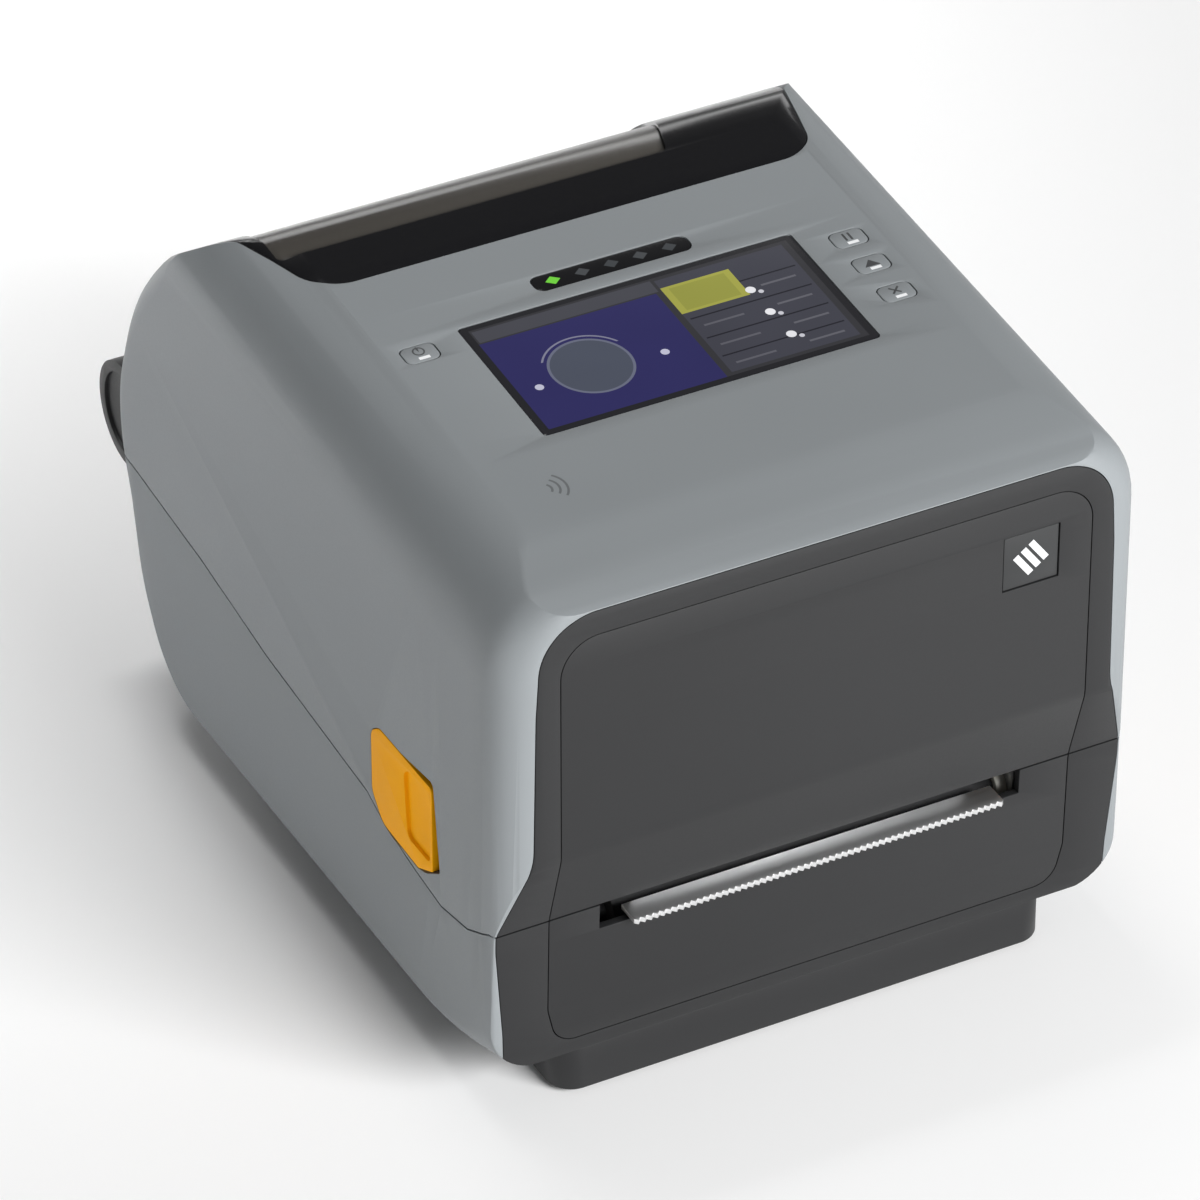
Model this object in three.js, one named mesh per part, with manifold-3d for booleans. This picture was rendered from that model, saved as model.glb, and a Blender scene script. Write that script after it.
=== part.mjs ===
// Desktop label printer, built as its separate pieces.
// Millimetres. +X is to the right as one faces the front, -Y is the front, +Z is up.
// The origin is on the desk, at the centre of the outline.
import * as THREE from 'three';
import { mergeVertices } from 'three/addons/utils/BufferGeometryUtils.js';
import Module from 'manifold-3d';

const wasm = await Module();
wasm.setup();

// ---- driving dimensions -------------------------------------------------------------
const width = 202;
const frontY = -133.5;
const rearY = 133.5;
const wall = 2.5;
const gap = 0.3;                // between pieces that are screwed or clipped together
const running = 0.35;           // between pieces that move past each other
const half = width / 2;

const floorZ = 16.5;            // underside of the grey base
const partingFrontZ = 66.4;     // joint between base and cover at the front
const waistY = frontY + 7.5;    // the front steps back at that joint
const topFrontZ = 172.5;
const topTilt = THREE.MathUtils.degToRad(4.4);
const topCentre = { y: -40.8, z: 184.4 };
const topZ = (y) => topCentre.z + Math.tan(topTilt) * (y - topCentre.y);
const creaseY = frontY + 28.5;

const hinge = { y: rearY - 17, z: 94, knuckleR: 17, eyeR: 9, pinR: 3 };
const partingRearZ = hinge.z - 9;

const rollCentre = { y: 30, z: 80 };
const rollR = 52;
const rollWidth = 104;
const coreR = 12.7;
const linerR = rollR + 5.5;
const linerWall = 2;
const bayHalf = 65.5;

const gearModule = 1;
const platenTeeth = 24;
const idlerTeeth = 28;
const pinionTeeth = 10;
const pitchR = (teeth) => gearModule * teeth / 2;
const platenGearR = pitchR(platenTeeth) + gearModule;
const platen = { y: waistY + wall + 0.5 + platenGearR, z: 51, r: 8, shaftR: 3, half: 58 };
const slotHalf = 67;
const sensorRail = { y: platen.y + 17, z: 49, r: 2 };

const display = { width: 106, depth: 53.5, v: 0.5 };
const lightBar = { width: 50, depth: 7.6, v: 36 };
const buttonSize = { width: 11, depth: 8, thick: 4 };

// ---- finishes -----------------------------------------------------------------------
function finish(color, roughness, metalness = 0) {
  return new THREE.MeshStandardMaterial({ color, roughness, metalness });
}
const greyPlastic = finish(0x84888b, 0.55);
const darkPlastic = finish(0x424345, 0.5);
const blackGloss = finish(0x08080a, 0.12);
const smoked = finish(0x2a2824, 0.08);
const orangePlastic = finish(0xee9a05, 0.45);
const innerPlastic = finish(0x2c2d2f, 0.6);
const rubber = finish(0x1c1c1d, 0.85);
const steel = finish(0xb9bcc0, 0.3, 1);
const aluminium = finish(0xc4c7ca, 0.4, 1);
const board = finish(0x1d5a35, 0.6);
const paper = finish(0xecebe6, 0.8);
const ribbonFilm = finish(0x121214, 0.25);
const nylon = finish(0xd9d6cb, 0.5);

// ---- shapes -------------------------------------------------------------------------
// Outlines are lists of corners [a, b, radius]. Walking them anticlockwise, inset moves every
// side inwards by the same distance, and rounded turns each corner into an arc.
function inset(corners, distance) {
  const count = corners.length;
  return corners.map(([a, b, r = 0], i) => {
    const [pa, pb] = corners[(i + count - 1) % count];
    const [na, nb] = corners[(i + 1) % count];
    const into = new THREE.Vector2(a - pa, b - pb).normalize();
    const out = new THREE.Vector2(na - a, nb - b).normalize();
    const turn = into.cross(out);
    const n1 = new THREE.Vector2(-into.y, into.x);
    const n2 = new THREE.Vector2(-out.y, out.x);
    const k = distance / (1 + n1.dot(n2));
    const radius = turn > 0 ? Math.max(r - distance, 0) : r + (r > 0 ? distance : 0);
    return [a + k * (n1.x + n2.x), b + k * (n1.y + n2.y), radius];
  });
}

function rounded(corners, step = 12) {
  const count = corners.length;
  const points = [];
  corners.forEach(([a, b, r = 0], i) => {
    const here = new THREE.Vector2(a, b);
    const into = new THREE.Vector2(...corners[(i + count - 1) % count].slice(0, 2)).sub(here).normalize();
    const out = new THREE.Vector2(...corners[(i + 1) % count].slice(0, 2)).sub(here).normalize();
    const opening = Math.acos(THREE.MathUtils.clamp(into.dot(out), -1, 1));
    if (r < 0.05 || opening > 3.1) {
      points.push(here);
      return;
    }
    const reach = r / Math.tan(opening / 2);
    const centre = here.clone().addScaledVector(into.clone().add(out).normalize(), r / Math.sin(opening / 2));
    const start = here.clone().addScaledVector(into, reach).sub(centre);
    const end = here.clone().addScaledVector(out, reach).sub(centre);
    const sweep = Math.atan2(start.cross(end), start.dot(end));
    const steps = Math.max(1, Math.round(Math.abs(THREE.MathUtils.radToDeg(sweep)) / step));
    for (let k = 0; k <= steps; k++) {
      points.push(start.clone().rotateAround(new THREE.Vector2(), sweep * k / steps).add(centre));
    }
  });
  return points;
}

function circle(a, b, r, steps = 28) {
  return Array.from({ length: steps }, (_, k) => {
    const turn = 2 * Math.PI * k / steps;
    return new THREE.Vector2(a + r * Math.cos(turn), b + r * Math.sin(turn));
  });
}

// A flat outline, pushed along one axis from low to high. The outline's two numbers are
// (y, z) along X, (x, z) along Y and (x, y) along Z.
function prism(axis, points, low, high, holes = []) {
  const shape = new THREE.Shape(points);
  shape.holes = holes.map((hole) => new THREE.Path(hole));
  const geometry = new THREE.ExtrudeGeometry(shape, { depth: high - low, bevelEnabled: false });
  const [x, y, z] = [new THREE.Vector3(1, 0, 0), new THREE.Vector3(0, 1, 0), new THREE.Vector3(0, 0, 1)];
  const place = new THREE.Matrix4();
  if (axis === 'x') {
    geometry.translate(0, 0, low);
    place.makeBasis(y, z, x);
  }
  if (axis === 'y') {
    geometry.translate(0, 0, -high);
    place.makeBasis(x, z, y.negate());
  }
  if (axis === 'z') {
    geometry.translate(0, 0, low);
  }
  return geometry.applyMatrix4(place);
}

function solid(geometry) {
  geometry.deleteAttribute('normal');
  geometry.deleteAttribute('uv');
  const merged = mergeVertices(geometry, 1e-4);
  return new wasm.Manifold(new wasm.Mesh({
    numProp: 3,
    vertProperties: merged.getAttribute('position').array,
    triVerts: new Uint32Array(merged.getIndex().array),
  }));
}

const bar = (axis, points, low, high, holes) => solid(prism(axis, points, low, high, holes));

function box(x0, x1, y0, y1, z0, z1) {
  return bar('z', [[x0, y0], [x1, y0], [x1, y1], [x0, y1]].map((p) => new THREE.Vector2(...p)), z0, z1);
}

function rod(x0, x1, y, z, r, steps = 24) {
  return bar('x', circle(y, z, r, steps), x0, x1);
}

function bothSides(make) {
  return make(-1).add(make(1));
}

function spanX(side, near, far) {
  return side > 0 ? [near, far] : [-far, -near];
}

function geometryOf(piece) {
  const mesh = piece.getMesh();
  const geometry = new THREE.BufferGeometry();
  geometry.setAttribute('position', new THREE.BufferAttribute(mesh.vertProperties, 3));
  geometry.setIndex(new THREE.BufferAttribute(mesh.triVerts, 1));
  return geometry;
}

const printer = new THREE.Group();

function add(name, piece, material, parent = printer) {
  const geometry = piece.isBufferGeometry ? piece : geometryOf(piece);
  const mesh = new THREE.Mesh(geometry, material);
  mesh.name = name;
  parent.add(mesh);
  return mesh;
}

// A spur gear: teeth a little thinner than half the pitch, so meshed gears keep backlash.
function gearOutline(teeth, phase) {
  const pitchR = gearModule * teeth / 2;
  const pitch = 2 * Math.PI / teeth;
  const flank = [[-0.27, -1.2], [-0.11, 0.85], [0.11, 0.85], [0.27, -1.2]];
  const points = [];
  for (let k = 0; k < teeth; k++) {
    flank.forEach(([share, height]) => {
      const turn = phase + (k + share) * pitch;
      const r = pitchR + height * gearModule;
      points.push(new THREE.Vector2(r * Math.cos(turn), r * Math.sin(turn)));
    });
  }
  return points;
}

// The phase that puts a gap of the driven gear on the line where the driver has its tooth.
function meshPhase(driver, driverTeeth, driverPhase, driven, drivenTeeth) {
  const line = Math.atan2(driven.z - driver.z, driven.y - driver.y);
  const toothAt = (line - driverPhase) * driverTeeth / (2 * Math.PI);
  return line + Math.PI - (0.5 - toothAt) * 2 * Math.PI / drivenTeeth;
}

// Where a gear's centre lies, behind the gear that meshes with it and lower than it by a drop.
function meshedAt(driver, distance, drop) {
  return { y: driver.y + Math.sqrt(distance ** 2 - drop ** 2), z: driver.z - drop };
}

// ---- outer form ---------------------------------------------------------------------
// Seen from the side: a sloping top, a back that rolls down and in again below the hinge,
// and a front that steps back at the label slot.
const sideOutline = [
  [waistY + 1.5, floorZ, 3],
  [84, floorZ, 38],
  [104, 44.5, 60],
  [121.5, 100, 60],
  [101, 156, 90],
  [50, topZ(50), 40],
  [creaseY, topZ(creaseY), 30],
  [frontY, topFrontZ, 3],
  [frontY, partingFrontZ + 25.6, 12],
  [waistY, partingFrontZ, 10],
];
const planOutline = [
  [-half, frontY, 12.5],
  [half, frontY, 12.5],
  [half, 122, 12],
  [-half, 122, 12],
];
// The shoulders between the sides and the sloping top are arcs, in the plane across the printer.
const shoulderR = 27;

function shoulderCut(side, depth) {
  const above = 60;
  const clear = 6;
  const r = shoulderR - depth;
  const centre = { x: half - shoulderR, z: topZ(0) - shoulderR };
  const at = (degrees, along) => {
    const a = THREE.MathUtils.degToRad(degrees);
    return [centre.x + r * Math.cos(a) - along * Math.sin(a), centre.z + r * Math.sin(a) + along * Math.cos(a)];
  };
  const [first, last] = [12, 78];
  const arc = Array.from({ length: 7 }, (_, k) => at(first + (last - first) * k / 6, 0));
  const start = at(first, -(clear + depth) / Math.sin(THREE.MathUtils.degToRad(first)));
  const end = at(last, 2 * clear);
  const corners = [start, ...arc, end, [end[0], topZ(0) + above], [start[0], topZ(0) + above]];
  const points = corners.map(([x, z]) => new THREE.Vector2(side * x, z));
  const geometry = prism('y', points, frontY - 20, rearY + 20);
  const rise = new THREE.Matrix4().set(1, 0, 0, 0, 0, 1, 0, 0, 0, Math.tan(topTilt), 1, 0, 0, 0, 0, 1);
  return solid(geometry.applyMatrix4(rise));
}

// The whole outer form, moved inwards by depth.
function envelope(depth) {
  const side = bar('x', rounded(inset(sideOutline, depth)), -half - 1, half + 1);
  const plan = bar('z', rounded(inset(planOutline, depth)), 0, 220);
  return side.intersect(plan).subtract(shoulderCut(1, depth)).subtract(shoulderCut(-1, depth));
}

// The joint between base and cover, seen from the side. It dips under the release latch.
const partingLine = [
  [160, partingRearZ + 1], [104, partingRearZ], [57, 80], [14, 73], [-50, 67.3], [-62, 62.6],
  [-80, 59.5], [-96, 57.5], [-112, 60.5], [waistY + 2, partingFrontZ], [frontY - 20, partingFrontZ],
];

function above(clear) {
  const low = partingLine.map(([y, z]) => new THREE.Vector2(y, z + clear));
  return bar('x', [...low, new THREE.Vector2(frontY - 20, 230), new THREE.Vector2(160, 230)], -130, 130);
}

function below(clear) {
  const high = partingLine.map(([y, z]) => new THREE.Vector2(y, z - clear));
  return bar('x', [...high, new THREE.Vector2(frontY - 20, -5), new THREE.Vector2(160, -5)], -130, 130);
}

const outer = envelope(0);
const inner = envelope(wall);
const shell = outer.subtract(inner);

// ---- release latches: shape and travel ----------------------------------------------
const latchPivot = { y: -72, z: 101, r: 3 };
const latchTravel = THREE.MathUtils.degToRad(7);
const latchOutline = [
  [-60, 62.6, 6], [-53.5, 70, 5], [-53.5, 91, 5], [-59, 94.5, 4], [-91, 94.5, 1.5], [-91, 66, 1], [-82, 61.6, 3],
];

function latchSwung(points, turn) {
  const pivot = new THREE.Vector2(latchPivot.y, latchPivot.z);
  return points.map((p) => p.clone().rotateAround(pivot, -turn));
}

// The pocket holds the latch at rest and pulled, and everywhere between.
function latchPocket(side) {
  const clear = rounded(inset(latchOutline, -running));
  const [x0, x1] = spanX(side, half - wall - 1, half + 2);
  return [0, 0.34, 0.67, 1]
    .map((share) => bar('x', latchSwung(clear, latchTravel * share), x0, x1))
    .reduce((all, one) => all.add(one));
}
const latchPockets = bothSides(latchPocket);

// ---- front bezels -------------------------------------------------------------------
const bezelDepth = 15;
const upperBezel = [
  [-99.4, 40, 0], [99.4, 40, 0], [99.4, partingFrontZ, 14], [91.2, 94, 24], [90.4, 142, 60],
  [88.6, topFrontZ - 0.3, 18], [-88.6, topFrontZ - 0.3, 18],
  [-90.4, 142, 60], [-91.2, 94, 24], [-99.4, partingFrontZ, 14],
];
const upperPanel = [
  [-83, 40, 0], [83, 40, 0], [83, 164.3, 12], [-83, 164.3, 12],
];
const lowerBezel = [
  [-96.5, 10, 0], [96.5, 10, 0], [97, 30, 20], [99.4, partingFrontZ - 6, 20], [99.4, 90, 0],
  [-99.4, 90, 0], [-99.4, partingFrontZ - 6, 20], [-97, 30, 20],
];
const lowerPanel = [
  [-80, 21, 8], [80, 21, 8], [83, 34, 8], [83, 90, 0], [-83, 90, 0], [-83, 34, 8],
];
const bezelBack = frontY + bezelDepth;
const emblem = { x: 63.5, z: 145, size: 18, deep: 1.2 };
const slot = { low: 57.8, high: partingFrontZ };

function frontRegion(corners, clear, back = bezelBack) {
  return bar('y', rounded(inset(corners, clear)), frontY - 5, back);
}

function frontPieces() {
  const slotCut = box(-slotHalf, slotHalf, frontY - 5, bezelBack + 5, slot.low, slot.high + 5);
  const upper = above(gap).intersect(shell);
  const lower = below(gap).intersect(shell);
  const upperSkin = upper.intersect(frontRegion(upperBezel, gap, bezelBack - gap));
  const lowerSkin = lower.intersect(frontRegion(lowerBezel, gap, bezelBack - gap)).subtract(slotCut);
  const h = emblem.size / 2;
  const emblemCut = box(emblem.x - h, emblem.x + h, frontY - 5, frontY + emblem.deep, emblem.z - h, emblem.z + h);
  add('upper_bezel', upperSkin.subtract(frontRegion(upperPanel, 0)), darkPlastic);
  add('upper_front_panel', upperSkin.intersect(frontRegion(upperPanel, gap)).subtract(emblemCut), darkPlastic);
  add('lower_bezel', lowerSkin.subtract(frontRegion(lowerPanel, 0)), darkPlastic);
  add('lower_front_panel', lowerSkin.intersect(frontRegion(lowerPanel, gap)), darkPlastic);
  const e = h - gap;
  add('emblem_plate', box(emblem.x - e, emblem.x + e, frontY + 0.3, frontY + emblem.deep - gap,
    emblem.z - e, emblem.z + e), finish(0x2e2f31, 0.4));
}

// ---- window -------------------------------------------------------------------------
const windowFrontY = 17.9;
const windowRearZ = 118;
const windowOutline = [
  [-79, windowFrontY, 14], [79, windowFrontY, 14], [91.5, 66, 30], [92, 140, 0], [-92, 140, 0], [-91.5, 66, 30],
];
const paneOutline = [
  [-83, windowFrontY + 18, 3], [40, windowFrontY + 18, 3], [56, windowFrontY + 62, 12], [56, 150, 0], [-83, 150, 0],
];

function windowPieces() {
  const frameRegion = bar('z', rounded(inset(windowOutline, gap)), windowRearZ + gap, 230);
  const paneRegion = bar('z', rounded(paneOutline), windowRearZ + 8, 230);
  const paneInside = bar('z', rounded(inset(paneOutline, gap)), windowRearZ + 8 + gap, 230);
  add('window_frame', shell.intersect(frameRegion).subtract(paneRegion), blackGloss);
  const paneShell = envelope(0.9).subtract(envelope(wall));
  add('window_pane', paneShell.intersect(frameRegion).intersect(paneInside), smoked);
}

// ---- sloping top: display, status light bar, buttons ----------------------------------
const topFrame = new THREE.Matrix4()
  .makeTranslation(0, topCentre.y, topCentre.z)
  .multiply(new THREE.Matrix4().makeRotationX(topTilt));
const topGroup = new THREE.Group();
topGroup.applyMatrix4(topFrame);
printer.add(topGroup);

const buttons = [
  { name: 'power_button', u: -67, v: 21.5 },
  { name: 'pause_button', u: 67, v: 18 },
  { name: 'feed_button', u: 67, v: 4.8 },
  { name: 'cancel_button', u: 67, v: -9.8 },
];

function plate(u, v, sizeU, sizeV, low, high, radius = 1) {
  const corners = [
    [u - sizeU / 2, v - sizeV / 2, radius], [u + sizeU / 2, v - sizeV / 2, radius],
    [u + sizeU / 2, v + sizeV / 2, radius], [u - sizeU / 2, v + sizeV / 2, radius],
  ];
  return prism('z', rounded(corners, 30), low, high);
}

function topOpenings() {
  const wells = [
    plate(0, display.v, display.width, display.depth, -wall - 1, 3, 1.5),
    plate(0.5, lightBar.v, lightBar.width, lightBar.depth, -wall - 1, 3, 3),
    ...buttons.map((b) => plate(b.u, b.v, buttonSize.width, buttonSize.depth, -wall - 1, 3, 2.5)),
  ];
  return wells.map((well) => solid(well.applyMatrix4(topFrame))).reduce((all, one) => all.add(one));
}

function topPieces() {
  add('display_glass', plate(0, display.v, display.width - 2 * gap, display.depth - 2 * gap, -1.4, -0.1, 1.5),
    finish(0x101222, 0.08), topGroup);
  add('display_module', plate(0, display.v, display.width + 6, display.depth + 6, -9, -wall - 2 * gap, 1),
    innerPlastic, topGroup);
  add('status_light_bar', plate(0.5, lightBar.v, lightBar.width - 2 * gap, lightBar.depth - 2 * gap, -2.2, -0.1, 2.8),
    blackGloss, topGroup);
  buttons.forEach((b) => {
    const cap = plate(0, 0, buttonSize.width - 2 * running, buttonSize.depth - 2 * running, -buttonSize.thick, 0, 2.2);
    add(b.name, cap, greyPlastic, topGroup).position.set(b.u, b.v, 0);
  });
}

// ---- top cover and its frame ----------------------------------------------------------
// A rod round the hinge line clears the knuckles and eyes out of the rear walls.
function hingeSlots() {
  return bothSides((side) => rod(...spanX(side, 66.5, half - wall - 0.5), hinge.y, hinge.z, hinge.knuckleR + 1.2, 40));
}

function topCover() {
  const window = bar('z', rounded(windowOutline), windowRearZ, 230);
  return outer.subtract(inner).intersect(above(gap))
    .subtract(frontRegion(upperBezel, 0))
    .subtract(window)
    .subtract(topOpenings())
    .subtract(latchPockets)
    .subtract(hingeSlots());
}

// Two side plates and three cross plates carry the hinge eyes, the ribbon frame and the latches.
const sidePlate = { near: 70, far: 72.5 };
function coverFrame() {
  const outline = [
    [frontY + 17, 84, 3], [-30, 92, 10], [40, 150, 30], [hinge.y - 6, hinge.z - 6, 2], [hinge.y + 4, hinge.z + 5, 2],
    [70, 160, 20], [0, 164, 3], [frontY + 17, 155, 3],
  ];
  const plates = bothSides((side) => bar('x', rounded(outline, 15), ...spanX(side, sidePlate.near, sidePlate.far)));
  const eyes = bothSides((side) => rod(...spanX(side, sidePlate.near, 78.5), hinge.y, hinge.z, hinge.eyeR));
  const bores = bothSides((side) => rod(...spanX(side, 60, 90), hinge.y, hinge.z, hinge.pinR + running, 24));
  const bridges = box(-71, 71, -26, 0, 160, 163)
    .add(box(-71, 71, frontY + 18, frontY + 26, 150, 154))
    .add(box(-71, 71, 58, 70, 156, 159));
  const shaftHole = rod(-90, 90, latchPivot.y, latchPivot.z, latchPivot.r + running, 24);
  return plates.add(eyes).add(bridges).subtract(bores).subtract(shaftHole);
}

// ---- base shell, knuckles, tray, feet ---------------------------------------------------
const pocket = { half: 64, low: 42, high: 78, y: 103.4, plate: 2.2 };
const keeper = { y: -66.5, z: 55.2, r: 2.2 };

function baseShell() {
  const w = wall;
  const surround = box(-pocket.half - w, pocket.half + w, pocket.y - pocket.plate - gap, 140, pocket.low - w, pocket.high + w)
    .intersect(outer);
  const opening = box(-pocket.half, pocket.half, pocket.y - 20, 150, pocket.low, pocket.high);
  const keepers = bothSides((side) => rod(...spanX(side, half - 9, half - 1), keeper.y, keeper.z, keeper.r, 16));
  return shell.add(surround).subtract(opening).add(keepers).intersect(below(gap))
    .subtract(frontRegion(lowerBezel, 0))
    .subtract(latchPockets)
    .subtract(hingeSlots());
}

function knuckle(side) {
  const [x0, x1] = spanX(side, 79.2, half - wall - 1);
  const body = rod(x0, x1, hinge.y, hinge.z, hinge.knuckleR, 36);
  const rib = box(x0, x1, 88, 110, 60, 84).intersect(envelope(wall + gap));
  const pin = rod(...spanX(side, 68, 85), hinge.y, hinge.z, hinge.pinR, 24);
  return body.add(rib).add(pin);
}

const tray = { half: 79, front: frontY + 9.5, rear: 62, top: floorZ - gap, low: 1.5 };
const footPlaces = [[-1, -1], [1, -1], [-1, 1], [1, 1]];

function baseTray() {
  const outline = [
    [-tray.half, tray.front, 8], [tray.half, tray.front, 8], [tray.half, tray.rear, 8], [-tray.half, tray.rear, 8],
  ];
  const wells = footPlaces.map(([sx, sy]) => {
    const [x, y] = footCentre(sx, sy);
    return bar('z', circle(x, y, foot.r + gap, 24), 0, foot.high + gap);
  }).reduce((all, one) => all.add(one));
  return bar('z', rounded(outline, 15), tray.low, tray.top).subtract(wells);
}

const foot = { r: 7, high: 4, fromEdge: 14 };
function footCentre(sx, sy) {
  const y = sy < 0 ? tray.front + foot.fromEdge : tray.rear - foot.fromEdge;
  return [sx * (tray.half - foot.fromEdge), y];
}

function basePieces() {
  add('base_shell', baseShell(), greyPlastic);
  add('base_tray', baseTray(), darkPlastic);
  footPlaces.forEach(([sx, sy]) => {
    const name = `foot_${sy < 0 ? 'front' : 'rear'}_${sx < 0 ? 'left' : 'right'}`;
    const lathe = [[0, 0], [foot.r - 0.8, 0], [foot.r, 0.8], [foot.r, foot.high], [0, foot.high]];
    const geometry = new THREE.LatheGeometry(lathe.map((p) => new THREE.Vector2(...p)), 18).rotateX(Math.PI / 2);
    add(name, geometryOf(solid(geometry)), rubber).position.set(...footCentre(sx, sy), 0);
  });
  add('hinge_knuckle_left', knuckle(-1), darkPlastic);
  add('hinge_knuckle_right', knuckle(1), darkPlastic);
}

// ---- media bay --------------------------------------------------------------------------
const holder = { near: 53, thick: 4, hubR: 12.2, hubDeep: 3, discR: 24 };
const bayFloor = rollCentre.z - linerR;
const rack = { line: pitchR(pinionTeeth), low: bayFloor + 2.5, high: bayFloor + 4.5, back: 3.2, end: 20 };

function rollBay() {
  const { y, z } = rollCentre;
  const end = bayHalf + linerWall;
  return rod(-end, end, y, z, linerR + linerWall, 48)
    .subtract(rod(-bayHalf, bayHalf, y, z, linerR, 48))
    .intersect(box(-100, 100, -100, 100, 0, partingRearZ - 11));
}

function rollHolder(side) {
  const { y, z } = rollCentre;
  const plateX = spanX(side, holder.near, holder.near + holder.thick);
  const arm = bar('x', rounded([[y - 14, rack.low, 1], [y + 14, rack.low, 1], [y + 9, z, 0], [y - 9, z, 0]]), ...plateX);
  const disc = rod(...plateX, y, z, holder.discR, 28);
  const hub = rod(...spanX(side, holder.near - holder.hubDeep, holder.near + 1), y, z, holder.hubR, 28);
  return arm.add(disc).add(hub).add(rackBar(side));
}

// The left rack lies in front of the pinion and the right one behind it.
function rackBar(side) {
  const pitch = Math.PI * gearModule;
  const { line } = rack;
  const points = [[-rack.end - 0.01, line + rack.back], [-rack.end - 0.01, line + 1.2]];
  const teeth = Math.floor(2 * rack.end / pitch);
  const first = -Math.floor(teeth / 2);
  for (let k = first; k < first + teeth; k++) {
    const at = (k + 0.5) * pitch;
    points.push([at - 0.27 * pitch, line + 1.2], [at - 0.11 * pitch, line - 0.8]);
    points.push([at + 0.11 * pitch, line - 0.8], [at + 0.27 * pitch, line + 1.2]);
  }
  points.push([holder.near + 1, line + 1.2], [holder.near + 1, line + rack.back]);
  const outline = points.map(([x, y]) => new THREE.Vector2(side * x, rollCentre.y + side * y));
  return bar('z', outline, rack.low, rack.high);
}

function labelRoll() {
  const h = rollWidth / 2;
  const profile = [[coreR, -h], [rollR, -h], [rollR, h], [coreR, h], [coreR, -h]];
  return new THREE.LatheGeometry(profile.map((p) => new THREE.Vector2(...p)), 44).rotateZ(-Math.PI / 2);
}

function mediaDeck() {
  const rearEdge = rollCentre.y - linerR - linerWall - 2;
  const front = sensorRail.y + 5;
  const outline = [
    [front, 55], [rearEdge, 55], [rearEdge, 57.6], [front + 3, 57.6], [front, 56.4],
  ].map((p) => new THREE.Vector2(...p));
  const guides = bothSides((side) => box(...spanX(side, 60, 62), front + 8, rearEdge - 5, 57, 62));
  return bar('x', outline, -67, 67).add(guides);
}

function mediaPieces() {
  const { y, z } = rollCentre;
  add('roll_bay', rollBay(), innerPlastic);
  add('roll_holder_left', rollHolder(-1), nylon);
  add('roll_holder_right', rollHolder(1), nylon);
  const pinion = gearOutline(pinionTeeth, Math.PI / 2);
  add('centring_pinion', prism('z', pinion, rack.low, rack.high), nylon).position.set(0, y, 0);
  add('label_roll', solidGeometry(labelRoll()), paper).position.set(0, y, z);
  add('media_deck', mediaDeck(), innerPlastic);
}

function solidGeometry(geometry) {
  return geometryOf(solid(geometry));
}

// ---- print mechanism in the base --------------------------------------------------------
const gearX = { low: -79, high: -74 };
const idlerPlace = meshedAt(platen, pitchR(platenTeeth) + pitchR(idlerTeeth), 10);
const motorPlace = meshedAt(idlerPlace, pitchR(idlerTeeth) + pitchR(pinionTeeth), 4.33);
const motorSize = 34;
const chassis = { near: 69, far: 71, rear: -33 };
const bearing = { r: 6, near: 66, far: 73.5 };

function chassisPlate(side) {
  const [x0, x1] = spanX(side, chassis.near, chassis.far);
  const outline = [
    [frontY + 14, 24, 3], [chassis.rear, 24, 3], [chassis.rear, 54, 6], [-100, 62, 4], [frontY + 14, 62, 3],
  ];
  const holes = [circle(platen.y, platen.z, bearing.r + gap, 28)];
  const railHole = circle(sensorRail.y, sensorRail.z, sensorRail.r + gap, 16);
  if (side < 0) {
    holes.push(circle(idlerPlace.y, idlerPlace.z, 2.6, 16), circle(motorPlace.y, motorPlace.z, 4, 16));
  }
  return bar('x', rounded(outline, 15), x0, x1, [...holes, railHole]);
}

function gearTrain() {
  const width = gearX.high - gearX.low;
  const idlerPhase = meshPhase(platen, platenTeeth, 0, idlerPlace, idlerTeeth);
  const motorPhase = meshPhase(idlerPlace, idlerTeeth, idlerPhase, motorPlace, pinionTeeth);
  const make = (name, teeth, phase, at, bore, material) => {
    const holes = bore > 0 ? [circle(0, 0, bore, 20)] : [];
    const geometry = prism('x', gearOutline(teeth, phase), 0, width, holes);
    add(name, geometryOf(solid(geometry)), material).position.set(gearX.low, at.y, at.z);
  };
  make('platen_gear', platenTeeth, 0, platen, platen.shaftR + gap, nylon);
  make('idler_gear', idlerTeeth, idlerPhase, idlerPlace, 2.6, nylon);
  make('motor_pinion', pinionTeeth, motorPhase, motorPlace, 0, steel);
}

function platenRoller() {
  const roller = rod(-platen.half, platen.half, platen.y, platen.z, platen.r, 28);
  return roller.add(rod(gearX.low - 2, bearing.far + 2, platen.y, platen.z, platen.shaftR, 24));
}

function stepperMotor() {
  const s = motorSize / 2;
  const corners = [[-s, -s, 4], [s, -s, 4], [s, s, 4], [-s, s, 4]]
    .map(([a, b, r]) => [a + motorPlace.y, b + motorPlace.z, r]);
  const body = bar('x', rounded(corners, 45), -chassis.near + gap, -chassis.near + 26);
  return body.add(rod(gearX.high + gap, -chassis.near + 1, motorPlace.y, motorPlace.z, 2.4, 16));
}

function sensorCarriage() {
  const body = box(-8, 8, sensorRail.y - 4.5, sensorRail.y + 3.5, sensorRail.z - 5, sensorRail.z + 7);
  return body.subtract(rod(-20, 20, sensorRail.y, sensorRail.z, sensorRail.r + running, 16));
}

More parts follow.
